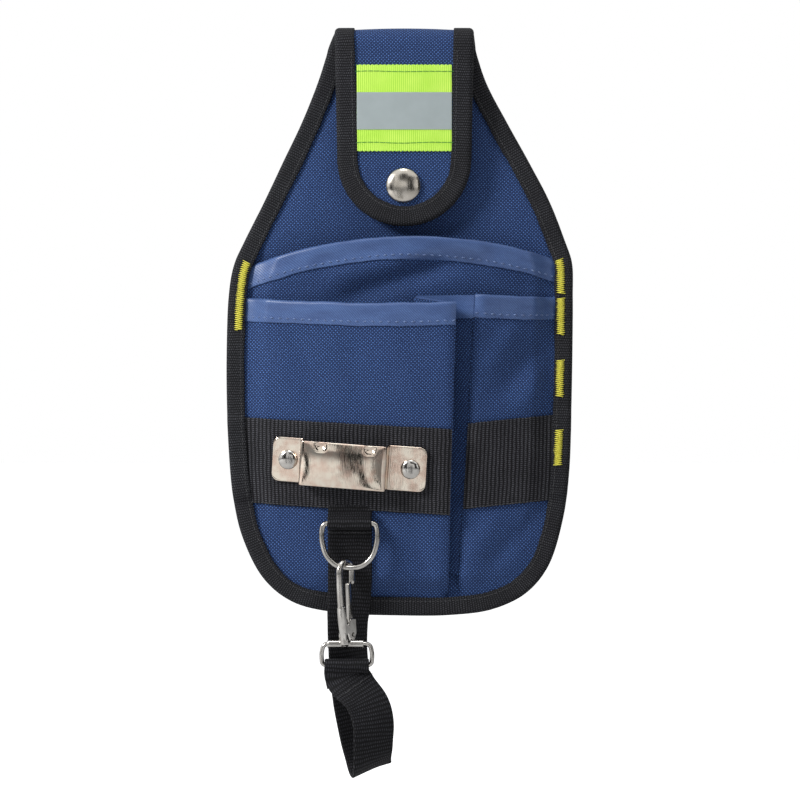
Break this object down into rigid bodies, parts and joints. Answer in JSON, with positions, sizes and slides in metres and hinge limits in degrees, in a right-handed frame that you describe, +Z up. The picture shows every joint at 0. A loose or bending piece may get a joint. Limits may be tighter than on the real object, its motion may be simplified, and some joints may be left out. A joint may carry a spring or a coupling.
{
  "type": "electrician tool pouch",
  "caption": "Padded belt pouch with a snap belt-loop flap, a back pocket, pleated front pockets, a steel tape-measure clip, and a D-ring with a snap hook closing a webbing tape loop.",
  "frame": {"origin": "inside top of the belt fold, on the rear face, at the middle of the pouch's width", "axes": "+Z up, +X to the right as seen from the front, -Y out of the front face"},
  "size_m": [0.1543, 0.0357, 0.3305],
  "materials": {
    "navy_fabric": "coarse navy oxford weave, matt",
    "hem_tape": "smooth twill tape, soft sheen",
    "black_binding": "crosswise ribbed grosgrain, matt",
    "black_webbing": "ribbed polypropylene webbing, matt",
    "hi_vis_tape": "fluorescent lime grosgrain",
    "reflective_tape": "grey glass-bead reflective film",
    "yellow_thread": "glossy polyester thread",
    "foam": "closed-cell foam",
    "polished_metal": "polished nickel plate",
    "dark_nickel": "polished gunmetal"
  },
  "bodies": {
    "pouch": {"rear_lining": "navy_fabric", "foam_core": "foam", "front_panel": "navy_fabric", "panel_binding": "black_binding", "back_pocket": "navy_fabric", "back_pocket_hem": "hem_tape", "left_pocket": "navy_fabric", "left_pocket_hem": "hem_tape", "right_pocket": "navy_fabric", "right_pocket_hem": "hem_tape", "pocket_pleat": "navy_fabric", "pleat_hem": "hem_tape", "band_left": "black_webbing", "band_right": "black_webbing", "tape_clip": "polished_metal", "clip_rivet_left": "polished_metal", "clip_rivet_right": "polished_metal", "rivet_washer_left": "polished_metal", "rivet_washer_right": "polished_metal", "snap_stud": "dark_nickel", "snap_rear_cap": "dark_nickel", "ring_tab": "black_webbing", "bar_tack_left": "yellow_thread", "bar_tack_right_1": "yellow_thread", "bar_tack_right_2": "yellow_thread", "bar_tack_right_3": "yellow_thread", "bar_tack_right_4": "yellow_thread"},
    "flap": {"flap_front": "navy_fabric", "flap_lining": "navy_fabric", "flap_binding": "black_binding", "hi_vis_tape": "hi_vis_tape", "reflective_strip": "reflective_tape", "snap_cap": "dark_nickel", "snap_socket": "dark_nickel"},
    "d_ring": {"d_ring": "polished_metal"},
    "hook": {"snap_hook": "polished_metal", "gate_pin": "polished_metal", "gate_spring": "polished_metal"},
    "gate": {"hook_gate": "polished_metal"},
    "eye": {"eye_loop": "polished_metal"},
    "strap": {"loop_strap": "black_webbing"}
  },
  "joints": [
    {"name": "flap_open", "type": "hinge", "parent": "pouch", "child": "flap", "pos_m": [0.001, 0.0013, -0.0063], "axis": [-1, 0, 0], "range_deg": [0, 150]},
    {"name": "ring_swing", "type": "hinge", "parent": "pouch", "child": "d_ring", "pos_m": [-0.023, -0.0208, -0.2158], "axis": [-1, 0, 0], "range_deg": [0, 100]},
    {"name": "strap_swing", "type": "hinge", "parent": "pouch", "child": "strap", "pos_m": [-0.023, -0.0208, -0.2158], "axis": [-1, 0, 0], "range_deg": [0, 100]},
    {"name": "hook_swing", "type": "hinge", "parent": "d_ring", "child": "hook", "pos_m": [-0.0248, -0.0208, -0.2353], "axis": [-1, 0, 0], "range_deg": [-3, 3]},
    {"name": "eye_pivot", "type": "hinge", "parent": "hook", "child": "eye", "pos_m": [-0.0249, -0.0208, -0.2686], "axis": [-1, 0, 0], "range_deg": [-14, 14]},
    {"name": "gate_open", "type": "hinge", "parent": "hook", "child": "gate", "pos_m": [-0.02279, -0.01782, -0.2648], "axis": [0.829, -0.5592, 0], "range_deg": [0, 9.5], "stiffness_Nm_per_rad": 0.01, "springref_deg": -17.19, "deforming": ["gate_spring"]}
  ],
  "couplings": [
    {"joint": "strap_swing", "follows": "ring_swing", "ratio": 1},
    {"joint": "eye_pivot", "follows": "hook_swing", "ratio": -4.5426}
  ]
}
